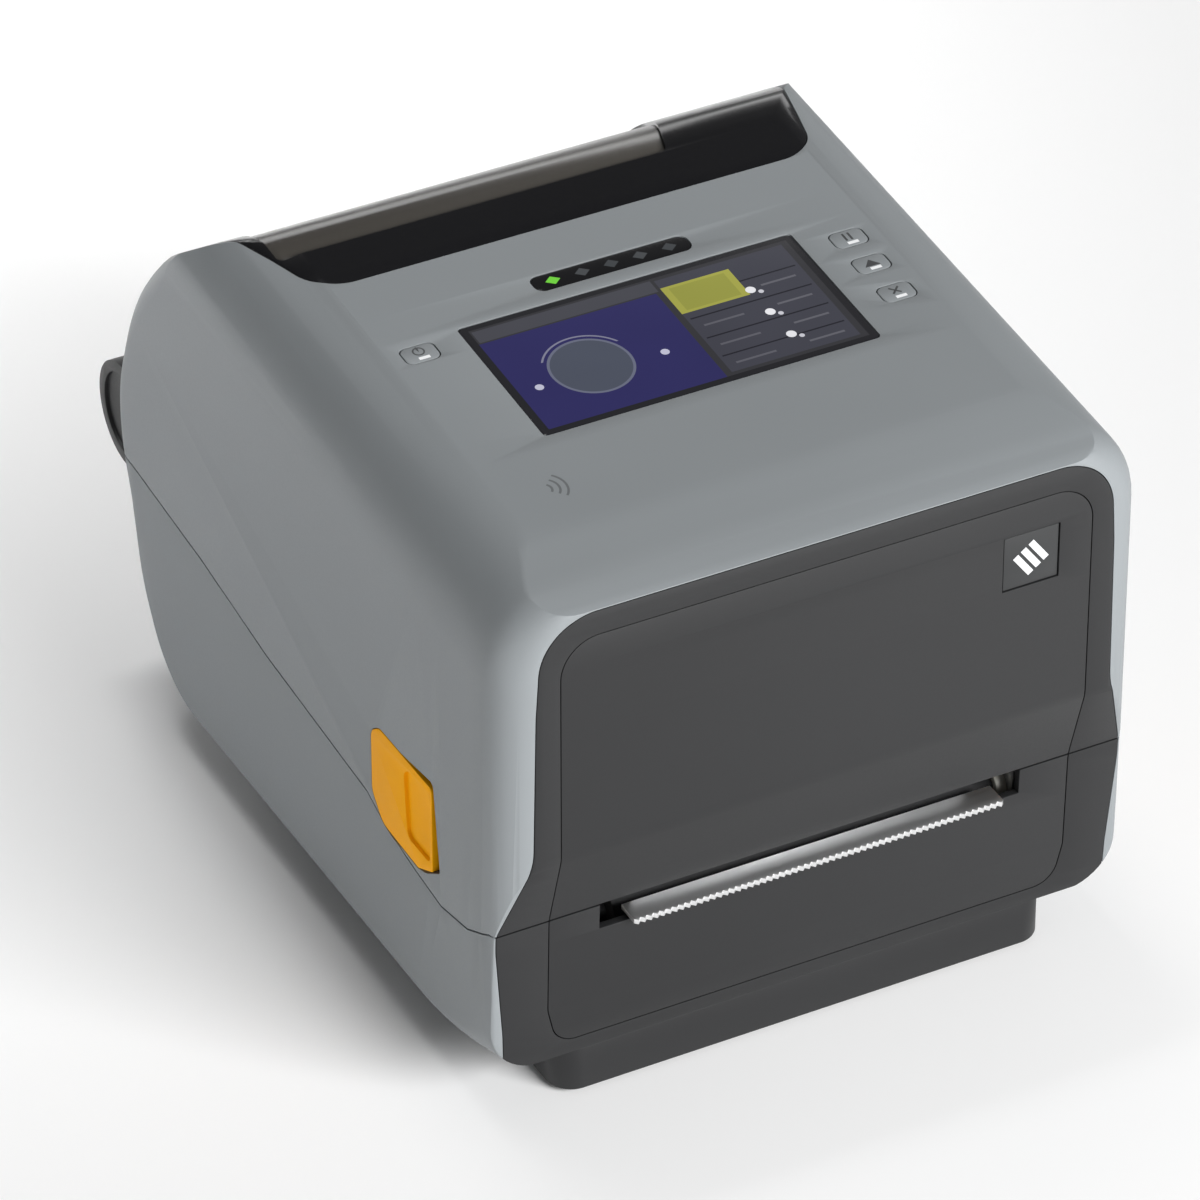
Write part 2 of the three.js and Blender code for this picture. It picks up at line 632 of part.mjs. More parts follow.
// The serrated edge that the labels are torn against.
const tearBarLine = { x0: -58, x1: 60, front: frontY + 3.4, rear: frontY + 12, low: slot.low + 0.8, high: slot.low + 2.4 };
function tearBar() {
  const pitch = 2;
  const points = [[tearBarLine.x1, tearBarLine.rear], [tearBarLine.x0, tearBarLine.rear]];
  for (let x = tearBarLine.x0; x < tearBarLine.x1 - 0.01; x += pitch) {
    points.push([x, tearBarLine.front + 1], [x + pitch / 2, tearBarLine.front]);
  }
  points.push([tearBarLine.x1, tearBarLine.front + 1]);
  return bar('z', points.map((p) => new THREE.Vector2(...p)), tearBarLine.low, tearBarLine.high);
}

function mechanismPieces() {
  add('chassis_plate_left', chassisPlate(-1), steel);
  add('chassis_plate_right', chassisPlate(1), steel);
  ['left', 'right'].forEach((name, i) => {
    const ring = prism('x', circle(platen.y, platen.z, bearing.r, 28), ...spanX(2 * i - 1, bearing.near, bearing.far),
      [circle(platen.y, platen.z, platen.shaftR + running, 24)]);
    add(`platen_bearing_${name}`, solidGeometry(ring), nylon);
  });
  add('platen_roller', platenRoller(), rubber);
  gearTrain();
  add('stepper_motor', stepperMotor(), finish(0x3a3b3d, 0.4, 0.8));
  add('sensor_rail', rod(-chassis.far - 1, chassis.far + 1, sensorRail.y, sensorRail.z, sensorRail.r, 16), steel);
  add('sensor_carriage', sensorCarriage(), innerPlastic);
  add('tear_bar', tearBar(), steel);
}

// ---- print head and ribbon, carried by the cover ------------------------------------------
const headPivot = { y: -66, z: 84 };
const head = { half: 54, front: platen.y - 7.5, rear: platen.y + 9, low: 60, high: 72 };
const ribbonPlate = { near: 62, far: 64 };
const supply = { y: -46, z: 126, r: 17, spindleR: 6.5 };
const takeUp = { y: -93, z: 134, r: 11, gearR: 13 };
const bridge = { y0: -108, y1: -94, low: 92, high: 95 };
const headSpring = { x: 32, y: -101, coilR: 3.4, wireR: 0.7, low: 76.2 };

function headBracket() {
  const top = box(-58, 58, head.front + 2, headPivot.y + 3, 72.4, 75.6);
  const ears = bothSides((side) => bar('x', rounded([
    [headPivot.y - 16, 73, 0], [headPivot.y + 3, 73, 0], [headPivot.y + 6, headPivot.z, 5],
    [headPivot.y, headPivot.z + 6, 5], [headPivot.y - 6, headPivot.z + 2, 5],
  ], 20), ...spanX(side, 55, 58)));
  const pins = bothSides((side) => rod(...spanX(side, 56, 67), headPivot.y, headPivot.z, 2.5, 20));
  return top.add(ears).add(pins);
}

function printHead() {
  const outline = [
    [head.front + 2, head.low, 0], [head.rear - 3, head.low, 0], [head.rear, head.low + 4, 0],
    [head.rear, head.high, 0], [head.front, head.high, 0], [head.front, head.low + 3, 0],
  ].map(([y, z]) => new THREE.Vector2(y, z));
  return bar('x', outline, -head.half, head.half);
}

function ribbonFrame() {
  const outline = [
    [frontY + 20, 86, 4], [-75, 78, 4], [-54, 76, 5], [-48, 100, 5], [-25, 112, 10], [-25, 140, 12],
    [-60, 148, 12], [frontY + 20, 148, 10],
  ];
  const holes = [
    circle(supply.y, supply.z, 4 + running, 20), circle(takeUp.y, takeUp.z, 4 + running, 20),
    circle(headPivot.y, headPivot.z, 2.5 + running, 20),
    circle(latchPivot.y, latchPivot.z, latchPivot.r + running, 20),
  ];
  const plates = bothSides((side) => bar('x', rounded(outline, 18), ...spanX(side, ribbonPlate.near, ribbonPlate.far), holes));
  return plates.add(box(-63, 63, bridge.y0, bridge.y1, bridge.low, bridge.high));
}

// A spool: a barrel between two end discs, with journals that run in the ribbon frame.
function spindle(at, barrelR, collarR) {
  return rod(-58, 58, at.y, at.z, barrelR, 28)
    .add(bothSides((side) => rod(...spanX(side, 55.5, 58.5), at.y, at.z, collarR, 28)))
    .add(rod(-66, 66, at.y, at.z, 4, 20));
}

function coilSpring() {
  const turns = 4;
  const perTurn = 8;
  const steps = perTurn * turns;
  const low = headSpring.low;
  const high = bridge.low - gap - headSpring.wireR;
  const points = Array.from({ length: steps + 1 }, (_, k) => {
    const turn = 2 * Math.PI * k / perTurn;
    return new THREE.Vector3(headSpring.coilR * Math.cos(turn), headSpring.coilR * Math.sin(turn),
      low + headSpring.wireR + (high - low - headSpring.wireR) * k / steps);
  });
  const wire = new THREE.Shape(circle(0, 0, headSpring.wireR, 5));
  return new THREE.ExtrudeGeometry(wire, {
    steps, bevelEnabled: false, extrudePath: new THREE.CatmullRomCurve3(points),
  });
}

function ribbonPieces() {
  add('printhead_bracket', headBracket(), steel);
  add('printhead', printHead(), aluminium);
  add('ribbon_frame', ribbonFrame(), innerPlastic);
  [['left', -1], ['right', 1]].forEach(([name, side]) => {
    add(`head_spring_${name}`, solidGeometry(coilSpring()), steel).position.set(side * headSpring.x, headSpring.y, 0);
  });
  add('ribbon_supply_spindle', spindle(supply, supply.spindleR, 12), nylon);
  const film = prism('x', circle(supply.y, supply.z, supply.r, 40), -54, 54,
    [circle(supply.y, supply.z, supply.spindleR + gap, 28)]);
  add('ribbon_roll', solidGeometry(film), ribbonFilm);
  add('ribbon_takeup_spindle', spindle(takeUp, takeUp.r, 14), nylon);
}

// ---- latches --------------------------------------------------------------------------
function latch(side) {
  const plateX = spanX(side, half - wall - 1, half);
  const armX = spanX(side, half - wall - 5, half - wall - running);
  const tip = keeper.y - keeper.r - 0.5;
  const arm = [
    [-78, 104, 4], [-78, 62, 3], [-80, 49, 2], [tip, 49, 1], [tip, 52.4, 1], [-74.5, 52.6, 1], [-68, 66, 2], [-64, 90, 3], [-66, 106, 4],
  ];
  const face = bar('x', rounded(latchOutline), ...plateX);
  const bore = rod(...spanX(side, half - wall - 6, half - wall - 1), latchPivot.y, latchPivot.z, latchPivot.r + gap);
  return face.add(bar('x', rounded(arm, 20), ...armX)).subtract(bore);
}

function latchPieces() {
  add('latch_left', latch(-1), orangePlastic);
  add('latch_right', latch(1), orangePlastic);
  const end = half - wall - 1.3;
  add('latch_shaft', rod(-end, end, latchPivot.y, latchPivot.z, latchPivot.r, 20), steel);
}

// ---- rear connectors --------------------------------------------------------------------
const portZ = 46;
const ports = [
  { name: 'serial_port', x: -42, wide: 31, high: 12.5, hole: null, material: steel },
  { name: 'ethernet_port', x: -12, wide: 16, high: 13.6, hole: [11.8, 8.4], material: steel },
  { name: 'usb_device_port', x: 12, wide: 12.4, high: 11.2, hole: [8.6, 7.8], material: steel },
  { name: 'power_inlet', x: 42, wide: 14, high: 14, hole: [7.4, 7.4], material: innerPlastic },
];
const boardY = pocket.y - pocket.plate - 7;

function rearPieces() {
  const plateBack = pocket.y - pocket.plate;
  const holes = ports.map((p) => box(p.x - p.wide / 2 - gap, p.x + p.wide / 2 + gap, 80, 120,
    portZ - gap, portZ + p.high + gap)).reduce((all, one) => all.add(one));
  const plateSolid = box(-pocket.half + gap, pocket.half - gap, plateBack, pocket.y, pocket.low + gap, pocket.high - gap);
  add('port_plate', plateSolid.subtract(holes), innerPlastic);
  add('io_board', box(-60, 60, boardY, boardY + 1.6, pocket.low + 2, 62), board);
  ports.forEach((p) => {
    const body = box(-p.wide / 2, p.wide / 2, boardY + 1.6 + gap, pocket.y + 1.2, 0, p.high);
    const cut = p.hole && box(-p.hole[0] / 2, p.hole[0] / 2, pocket.y - 7, pocket.y + 5,
      (p.high - p.hole[1]) / 2, (p.high + p.hole[1]) / 2);
    add(p.name, cut ? body.subtract(cut) : body, p.material).position.set(p.x, 0, portZ);
  });
}

// ---- assembly ---------------------------------------------------------------------------
add('top_cover', topCover(), greyPlastic);
add('cover_frame', coverFrame(), innerPlastic);
frontPieces();
windowPieces();
topPieces();
basePieces();
mediaPieces();
mechanismPieces();
ribbonPieces();
latchPieces();
rearPieces();

export default printer;
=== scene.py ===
import math

import bmesh
import bpy
from mathutils import Matrix, Vector


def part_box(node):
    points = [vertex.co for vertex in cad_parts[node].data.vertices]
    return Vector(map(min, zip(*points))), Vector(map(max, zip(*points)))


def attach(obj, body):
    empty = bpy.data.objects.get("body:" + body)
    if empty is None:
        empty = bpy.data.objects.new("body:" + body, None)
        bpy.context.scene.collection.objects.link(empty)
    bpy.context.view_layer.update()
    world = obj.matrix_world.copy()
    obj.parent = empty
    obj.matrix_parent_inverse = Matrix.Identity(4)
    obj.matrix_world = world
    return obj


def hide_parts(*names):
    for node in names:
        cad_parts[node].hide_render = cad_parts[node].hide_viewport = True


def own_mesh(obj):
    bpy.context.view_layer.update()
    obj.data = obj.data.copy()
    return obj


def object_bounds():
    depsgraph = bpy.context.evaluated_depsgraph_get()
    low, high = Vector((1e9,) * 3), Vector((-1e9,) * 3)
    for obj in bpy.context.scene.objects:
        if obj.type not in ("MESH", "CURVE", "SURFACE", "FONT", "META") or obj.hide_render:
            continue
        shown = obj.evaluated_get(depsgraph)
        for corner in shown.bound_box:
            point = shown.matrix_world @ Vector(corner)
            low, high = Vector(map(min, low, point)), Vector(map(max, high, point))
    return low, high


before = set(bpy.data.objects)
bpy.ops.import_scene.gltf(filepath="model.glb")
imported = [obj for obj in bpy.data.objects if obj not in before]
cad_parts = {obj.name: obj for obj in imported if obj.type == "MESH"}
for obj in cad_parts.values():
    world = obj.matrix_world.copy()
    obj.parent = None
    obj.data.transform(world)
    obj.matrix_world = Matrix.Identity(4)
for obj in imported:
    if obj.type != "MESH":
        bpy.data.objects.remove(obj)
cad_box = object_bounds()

# ---- Room -----------------------------------------------------------------------------
# A pale sweep of paper with a large soft light in front, weak ones at the side and the rear,
# and one on the paper behind. A long lens looks down from the printer's front left corner.
MM = 0.001
camera_yaw = math.radians(27.84)
camera_pitch = math.radians(35.32)
camera_distance = 2.317
camera_shift = (-0.0004, 0.0556)

level = math.cos(camera_pitch)
back = Vector((-math.sin(camera_yaw) * level, -math.cos(camera_yaw) * level, math.sin(camera_pitch)))
across = Vector((math.cos(camera_yaw), -math.sin(camera_yaw), 0))
upward = back.cross(across)
eye = across * camera_shift[0] + upward * camera_shift[1] + back * camera_distance

lens = bpy.data.cameras.new("camera")
lens.sensor_width = 36
lens.lens = 235.26
lens.clip_end = 20
camera = bpy.data.objects.new("camera", lens)
bpy.context.collection.objects.link(camera)
camera.matrix_world = Matrix((across, upward, back)).transposed().to_4x4()
camera.location = eye
bpy.context.scene.camera = camera


def soft_light(name, place, target, size, power, spread=180):
    lamp = bpy.data.lights.new(name, "AREA")
    lamp.shape = "RECTANGLE"
    lamp.size, lamp.size_y = size
    lamp.energy = power
    lamp.spread = math.radians(spread)
    holder = bpy.data.objects.new(name, lamp)
    bpy.context.collection.objects.link(holder)
    holder.location = place
    holder.rotation_euler = (Vector(target) - Vector(place)).to_track_quat("-Z", "Y").to_euler()


soft_light("front_light", (0.55, -1.75, 0.95), (0, 0, 0.12), (1.3, 0.6), 62)
soft_light("side_light", (-1.8, -0.5, 0.16), (0, 0, 0.1), (1.2, 0.3), 5)
soft_light("rear_light", (0.5, 1.5, 0.42), (0, 0.05, 0.18), (1.6, 0.3), 3)
soft_light("floor_light", (-0.5, 1.0, 2.2), (-0.5, 0.95, 0), (1.4, 1.2), 12, 40)

world = bpy.data.worlds.new("room")
world.use_nodes = True
world.node_tree.nodes["Background"].inputs["Color"].default_value = (1, 1, 1, 1)
world.node_tree.nodes["Background"].inputs["Strength"].default_value = 0.16
bpy.context.scene.world = world
bpy.context.scene.view_settings.view_transform = "Standard"

floor_mesh = bpy.data.meshes.new("floor")
grid = bmesh.new()
bmesh.ops.create_grid(grid, x_segments=1, y_segments=1, size=6)
grid.to_mesh(floor_mesh)
grid.free()
floor = bpy.data.objects.new("floor", floor_mesh)
bpy.context.collection.objects.link(floor)
paper = bpy.data.materials.new("floor_paper")
paper.use_nodes = True
paper.node_tree.nodes["Principled BSDF"].inputs["Base Color"].default_value = (0.92, 0.92, 0.92, 1)
paper.node_tree.nodes["Principled BSDF"].inputs["Roughness"].default_value = 0.9
floor_mesh.materials.append(paper)

# ---- Top cover ------------------------------------------------------------------------
# The hinged cover's grey outer shell: injection moulded, 2.5 mm thick, with a fine spark
# texture. Its edges are softly rounded and every opening has a small broken edge.
half = (cad_box[1].x - cad_box[0].x) / 2 / MM
front_y = cad_box[0].y / MM
far_x, far_y, far_z = 130, 160, 230  # clear of the printer, for the ends of cutting tools
wall = 2.5
gap = 0.3  # between pieces that are fixed to each other
running = 0.35  # round pieces that move
floor_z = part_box("base_shell")[0].z / MM
parting_z = 66.4
waist_y = front_y + 7.5
hinge_y = cad_box[1].y / MM - 17
hinge_z = 94
knuckle_r = 17
latch_y, latch_z = -72, 101
tilt = math.radians(4.4)
top_middle_y, top_middle_z = -40.8, 184.4  # the origin of what lies in the sloping top


def top_z(y):
    return top_middle_z + math.tan(tilt) * (y - top_middle_y)


def inset(corners, depth):
    """The same outline with every side moved inwards. Corners are (a, b, radius), anticlockwise."""
    moved = []
    for i, (a, b, r) in enumerate(corners):
        before = Vector((a, b)) - Vector(corners[i - 1][:2])
        after = Vector(corners[(i + 1) % len(corners)][:2]) - Vector((a, b))
        n1 = Vector((-before.y, before.x)).normalized()
        n2 = Vector((-after.y, after.x)).normalized()
        step = (n1 + n2) * (depth / (1 + n1.dot(n2)))
        convex = before.x * after.y - before.y * after.x > 0
        radius = max(r - depth, 0) if convex else (r + depth if r else 0)
        moved.append((a + step.x, b + step.y, radius))
    return moved


def rounded(corners, turn=4.0, count=0):
    """The outline's points, with each corner turned into an arc of short or of count steps."""
    points = []
    for i, (a, b, r) in enumerate(corners):
        here = Vector((a, b))
        into = (Vector(corners[i - 1][:2]) - here).normalized()
        out = (Vector(corners[(i + 1) % len(corners)][:2]) - here).normalized()
        opening = into.angle(out)
        if r < 0.05 or opening > 3.1:
            points.append(here)
            continue
        centre = here + (into + out).normalized() * (r / math.sin(opening / 2))
        start = here + into * (r / math.tan(opening / 2)) - centre
        end = here + out * (r / math.tan(opening / 2)) - centre
        sweep = math.atan2(start.x * end.y - start.y * end.x, start.dot(end))
        steps = count or max(1, round(abs(math.degrees(sweep)) / turn))
        for k in range(steps + 1):
            points.append(centre + Matrix.Rotation(sweep * k / steps, 2) @ start)
    return points


def ring(a, b, r):
    """The points of a circle."""
    turns = [2 * math.pi * k / 64 for k in range(64)]
    return [Vector((a + r * math.cos(t), b + r * math.sin(t))) for t in turns]


def bar(axis, points, low, high):
    """A flat outline pushed along an axis. It is in (y, z) along x, (x, z) along y, (x, y) along z."""
    bm = bmesh.new()
    place = {
        "x": lambda p, d: (d, p[0], p[1]),
        "y": lambda p, d: (p[0], d, p[1]),
        "z": lambda p, d: (p[0], p[1], d),
    }[axis]
    base = bm.faces.new([bm.verts.new(Vector(place(p, low)) * MM) for p in points])
    made = bmesh.ops.extrude_face_region(bm, geom=[base])
    moved = [v for v in made["geom"] if isinstance(v, bmesh.types.BMVert)]
    bmesh.ops.translate(bm, verts=moved, vec=Vector(place((0, 0), high - low)) * MM)
    bmesh.ops.recalc_face_normals(bm, faces=bm.faces)
    return bm


def block(x0, x1, y0, y1, z0, z1):
    return bar("z", [(x0, y0), (x1, y0), (x1, y1), (x0, y1)], z0, z1)


def rod(x0, x1, y, z, r):
    return bar("x", ring(y, z, r), x0, x1)


def outwards(side, inner, outer):
    """Two distances from the middle of the printer as low and high x on one side of it."""
    return sorted((side * inner, side * outer))


def as_object(bm, name="piece"):
    mesh = bpy.data.meshes.new(name)
    bm.to_mesh(mesh)
    bm.free()
    item = bpy.data.objects.new(name, mesh)
    bpy.context.collection.objects.link(item)
    return item


def settle(item):
    """Applies the modifiers on a piece to its mesh."""
    bpy.context.view_layer.update()
    evaluated = item.evaluated_get(bpy.context.evaluated_depsgraph_get())
    old = item.data
    item.data = bpy.data.meshes.new_from_object(evaluated)
    item.modifiers.clear()
    bpy.data.meshes.remove(old)
    return item


def carve(item, tool, how="DIFFERENCE"):
    """Cuts a tool away from a piece, keeps what is inside it, or joins the two."""
    cutter = tool if isinstance(tool, bpy.types.Object) else as_object(tool, "tool")
    work = item.modifiers.new("carve", "BOOLEAN")
    work.operation = how
    work.solver = "EXACT"
    work.object = cutter
    settle(item)
    bpy.data.objects.remove(cutter)
    return item


def twin(item):
    copy = item.copy()
    copy.data = item.data.copy()
    bpy.context.collection.objects.link(copy)
    return copy


brow_y = front_y + 28.5
side_outline = [
    (waist_y + 1.5, floor_z, 0), (84, floor_z, 38), (104, 44.5, 60), (121.5, 100, 60), (101, 156, 90),
    (50, top_z(50), 40), (brow_y, top_z(brow_y), 40), (front_y, 172.5, 0),
    (front_y, parting_z + 25.6, 14), (waist_y, parting_z, 18),
]
rim_least, rim_more = 2.0, 7.0
longest_step = 6.0


def along(points):
    """The same closed outline with its long straight sides divided."""
    fine = []
    for i, here in enumerate(points):
        ahead = points[(i + 1) % len(points)]
        count = max(1, math.ceil((ahead - here).length / longest_step))
        fine += [here.lerp(ahead, k / count) for k in range(count)]
    return fine


def ramp(value, low, high):
    return min(max((value - low) / (high - low), 0), 1)


def edge_round(point):
    """How far the rim of the side wall is rounded at a point (y, z) of the side outline."""
    y, z = point
    if y < front_y + 20:
        return rim_least
    if z > 120 and y < 95:
        return rim_least + rim_more * ramp(y, 66, 90)
    return rim_least + rim_more * ramp(z, floor_z + 2, 70)


def side_body(depth):
    """The side outline swept across the printer, with its rims rounded over at the sides."""
    points = along(rounded(inset(side_outline, depth), 3.0))
    total = len(points)
    tangents = [(points[(i + 1) % total] - points[i - 1]).normalized() for i in range(total)]
    inward = [Vector((-t.y, t.x)) for t in tangents]
    width = [max(edge_round(p) - depth, 0.6) for p in points]
    turns = [math.pi / 2 * k / 6 for k in range(6, -1, -1)]
    stations = [(-1, t) for t in turns] + [(1, t) for t in reversed(turns)]

    def place(i, side, turn):
        flat = points[i] + inward[i] * width[i] * (1 - math.cos(turn))
        return Vector((side * (half - depth - width[i] * (1 - math.sin(turn))), flat.x, flat.y)) * MM

    return skin([[place(i, side, turn) for i in range(total)] for side, turn in stations])


def skin(loops):
    """Joins closed loops of points, one after another, into one solid with flat ends."""
    bm = bmesh.new()
    rims = []
    for points in loops:
        verts = [bm.verts.new(p) for p in points]
        rims.append([bm.edges.new((verts[i - 1], verts[i])) for i in range(len(verts))])
    for near, far in zip(rims, rims[1:]):
        bmesh.ops.bridge_loops(bm, edges=near + far)
    for rim in (rims[0], rims[-1]):
        bmesh.ops.contextual_create(bm, geom=rim)
    bmesh.ops.recalc_face_normals(bm, faces=bm.faces)
    return bm


corner_r = 13
shoulder_r = 27


def shoulders(depth):
    """The front view of the form: upright sides that roll over into the sloping top. It narrows
    towards the front as the upright corners, seen from above, are rounded."""
    radius = corner_r - depth
    turns = [math.pi / 2 * k / 9 for k in range(9, -1, -1)]
    stations = [(front_y - 20, radius)]
    stations += [
        (front_y + depth + radius * (1 - math.sin(t)), radius * (1 - math.cos(t))) for t in turns]
    stations += [(front_y + corner_r + k * 8, 0) for k in range(1, 6)] + [(far_y, 0)]
    loops = []
    for y, narrower in stations:
        side, high = half - narrower, top_z(y) + 0.15
        low, low_r = floor_z - 0.4, 3 + 13 * (1 - ramp(y, front_y + 12, front_y + 52)) ** 2
        corners = [
            (-side, low, low_r), (side, low, low_r),
            (side, high, shoulder_r), (-side, high, shoulder_r),
        ]
        outline = rounded(inset(corners, depth), count=12)
        loops.append([Vector((x, y, z)) * MM for x, z in outline])
    return skin(loops)


def outer_form(depth):
    """The whole printer's outside, moved in by a depth. Shells and panels are what lies between two."""
    return carve(as_object(side_body(depth), "form"), shoulders(depth), "INTERSECT")


parting_line = [
    (far_y, hinge_z - 8), (104, hinge_z - 9), (57, 80), (14, 73), (-50, 67.3), (-62, 62.6),
    (-80, 59.5), (-96, 57.5), (-112, 60.5), (waist_y + 2, parting_z), (front_y - 20, parting_z),
]


def part_side(clear, far):
    """Everything on one side of the joint between cover and base, clear of it by a small gap."""
    joint = [(y, z + clear) for y, z in parting_line]
    return bar("x", joint + [(front_y - 20, far), (far_y, far)], -far_x, far_x)


bezel_back = front_y + 15
upper_outline = [
    (-99.4, 40, 0), (99.4, 40, 0), (99.4, parting_z, 14), (91.2, 94, 24), (90.4, 142, 60),
    (88.6, 172.2, 18), (-88.6, 172.2, 18), (-90.4, 142, 60), (-91.2, 94, 24), (-99.4, parting_z, 14),
]
lower_outline = [
    (-96.5, 10, 0), (96.5, 10, 0), (97, 30, 20), (99.4, parting_z - 6, 20),
    (99.4, 90, 0), (-99.4, 90, 0), (-99.4, parting_z - 6, 20), (-97, 30, 20),
]
window_outline = [
    (-79, 17.9, 14), (79, 17.9, 14), (91.5, 66, 30), (92, 140, 0), (-92, 140, 0), (-91.5, 66, 30),
]
window_low = 118
display_size = (106, 53.5)
display_v = 0.5
bar_size = (50, 7.6)
bar_u, bar_v = 0.5, 36
buttons = {"power": (-67, 21.5), "pause": (67, 18), "feed": (67, 4.8), "cancel": (67, -9.8)}
button_size = (11, 8)
top_middle = Vector((0, top_middle_y, top_middle_z)) * MM
on_top = Matrix.Translation(top_middle) @ Matrix.Rotation(tilt, 4, "X")
latch_outline = [
    (-60, 62.6, 6), (-53.5, 70, 5), (-53.5, 91, 5), (-59, 94.5, 4), (-91, 94.5, 1.5), (-91, 66, 1),
    (-82, 61.6, 3),
]


def front_cut(corners, clear, back=bezel_back):
    return bar("y", rounded(inset(corners, clear)), front_y - 5, back)


def top_plate(u, v, size, low, high, radius):
    """A flat plate that lies in the cover's sloping top."""
    w, d = size[0] / 2, size[1] / 2
    corners = [(u + sx * w, v + sy * d, radius) for sx, sy in ((-1, -1), (1, -1), (1, 1), (-1, 1))]
    bm = bar("z", rounded(corners, 12), low, high)
    bmesh.ops.transform(bm, matrix=on_top, verts=bm.verts)
    return bm


def latch_pocket(side):
    """The opening in the side wall that leaves the latch room to swing forwards."""
    pivot = Vector((latch_y, latch_z))
    clear = [Vector(p) - pivot for p in rounded(inset(latch_outline, -running), 12)]
    near, far = outwards(side, half - wall - 1, half + 2)
    pocket = None
    for turn in (0, 2.3, 4.6, 7):
        points = [pivot + Matrix.Rotation(-math.radians(turn), 2) @ p for p in clear]
        swung = as_object(bar("x", points, near, far), "pocket")
        pocket = carve(pocket, swung, "UNION") if pocket else swung
    return pocket


def hinge_slot(side):
    """Room in the cover and the base for a hinge knuckle."""
    return rod(*outwards(side, 66.5, half - wall - 0.5), hinge_y, hinge_z, knuckle_r + 1.2)


weld = 2e-6
sharp_edge = math.radians(40)
smooth_face = math.radians(32)


def finish_piece(item, name, body, nodes, finish, edge=0.35):
    """Breaks the sharp edges of a piece, gives it its finish and fixes it to what carries it."""
    item.name = name
    bm = bmesh.new()
    bm.from_mesh(item.data)
    bmesh.ops.remove_doubles(bm, verts=bm.verts, dist=weld)
    bmesh.ops.dissolve_degenerate(bm, edges=bm.edges, dist=weld)
    bm.to_mesh(item.data)
    bm.free()
    if edge:
        broken = item.modifiers.new("edge", "BEVEL")
        broken.width = edge * MM
        broken.segments = 2
        broken.limit_method = "ANGLE"
        broken.angle_limit = sharp_edge
        broken.use_clamp_overlap = True
        settle(item)
    item.data.materials.clear()
    item.data.materials.append(finish)
    for face in item.data.polygons:
        face.use_smooth = True
    item.data.set_sharp_from_angle(angle=smooth_face)
    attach(item, body)
    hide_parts(*nodes)


class Wire:
    """A value on its way through a material. Arithmetic on it adds the nodes that work it out."""

    tree = None

    def __init__(self, socket):
        self.socket = socket

    @classmethod
    def node(cls, kind, settings=None, out=0, **values):
        made = cls.tree.nodes.new(kind)
        for name, setting in (settings or {}).items():
            setattr(made, name, setting)
        for name, value in values.items():
            key = int(name[1:]) if name[0] == "_" else name.replace("_", " ")
            cls.feed(made.inputs[key], value)
        return cls(made.outputs[out])

    @classmethod
    def feed(cls, socket, value):
        if isinstance(value, Wire):
            cls.tree.links.new(value.socket, socket)
        else:
            socket.default_value = value

    def math(self, operation, *others):
        values = {f"_{i}": value for i, value in enumerate((self, *others))}
        return Wire.node("ShaderNodeMath", {"operation": operation}, **values)

    def __add__(self, other):
        return self.math("ADD", other)

    def __mul__(self, other):
        return self.math("MULTIPLY", other)

    def __sub__(self, other):
        return self.math("SUBTRACT", other)

    def __rsub__(self, other):
        return (self * -1) + other

    def __gt__(self, other):
        return self.math("GREATER_THAN", other)

    def __lt__(self, other):
        return self.math("LESS_THAN", other)

    def size(self):
        return self.math("ABSOLUTE")

    def within(self, low, high):
        return (self > low) * (self < high)


def begin(name):
    """A new finish: its shader, and where on the piece each point is."""
    material = bpy.data.materials.new(name)
    material.use_nodes = True
    Wire.tree = material.node_tree
    shader = material.node_tree.nodes["Principled BSDF"]
    place = Wire.node("ShaderNodeTexCoord", out=3)
    return material, shader, place


def noise(place, scale, detail=3.0, roughness=0.5):
    return Wire.node(
        "ShaderNodeTexNoise", Vector=place, Scale=scale, Detail=detail, Roughness=roughness)


def mix(share, under, over):
    """One colour over another. Each is three plain numbers or the colour from another node."""
    under, over = (c if isinstance(c, Wire) else (*c, 1) for c in (under, over))
    return Wire.node("ShaderNodeMix", {"data_type": "RGBA"}, out=2, Factor=share, _6=under, _7=over)


def relief(shader, strength, deep, height):
    """Tilts the shading of a finish as if its face rose and fell, with its depth in millimetres."""
    bump = Wire.node("ShaderNodeBump", Strength=strength, Distance=deep * MM, Height=height)
    Wire.feed(shader.inputs["Normal"], bump)


def coordinates(place):
    """Where a point is along x, y and z, in millimetres."""
    apart = Wire.node("ShaderNodeSeparateXYZ", Vector=place)
    return [Wire(output) * 1000 for output in apart.socket.node.outputs]


def either(a, *others):
    for b in others:
        a = a.math("MAXIMUM", b)
    return a


def on_face(place):
    """How far a point is right of, and behind, the middle of the sloping top, in millimetres."""
    x, y, z = coordinates(place)
    return x, (y - top_middle_y) * math.cos(tilt) + (z - top_middle_z) * math.sin(tilt)


def from_point(u, v, u0, v0):
    """How far a point is from another in the same plane."""
    right, behind = u - u0, v - v0
    return (right * right + behind * behind).math("SQRT")


def touch_mark(place):
    """The printed mark on the top, in front of the display, where a phone is held: three arcs."""
    u, v = on_face(place)
    mark_u, mark_v = -64, -47
    away = from_point(u, v, mark_u, mark_v)
    arcs = either(*(away.within(r, r + 0.7) for r in (2.0, 4.2, 6.4)))
    return arcs * (u > mark_u + 0.6) * ((v - mark_v).size() < (u - mark_u)) * 0.55


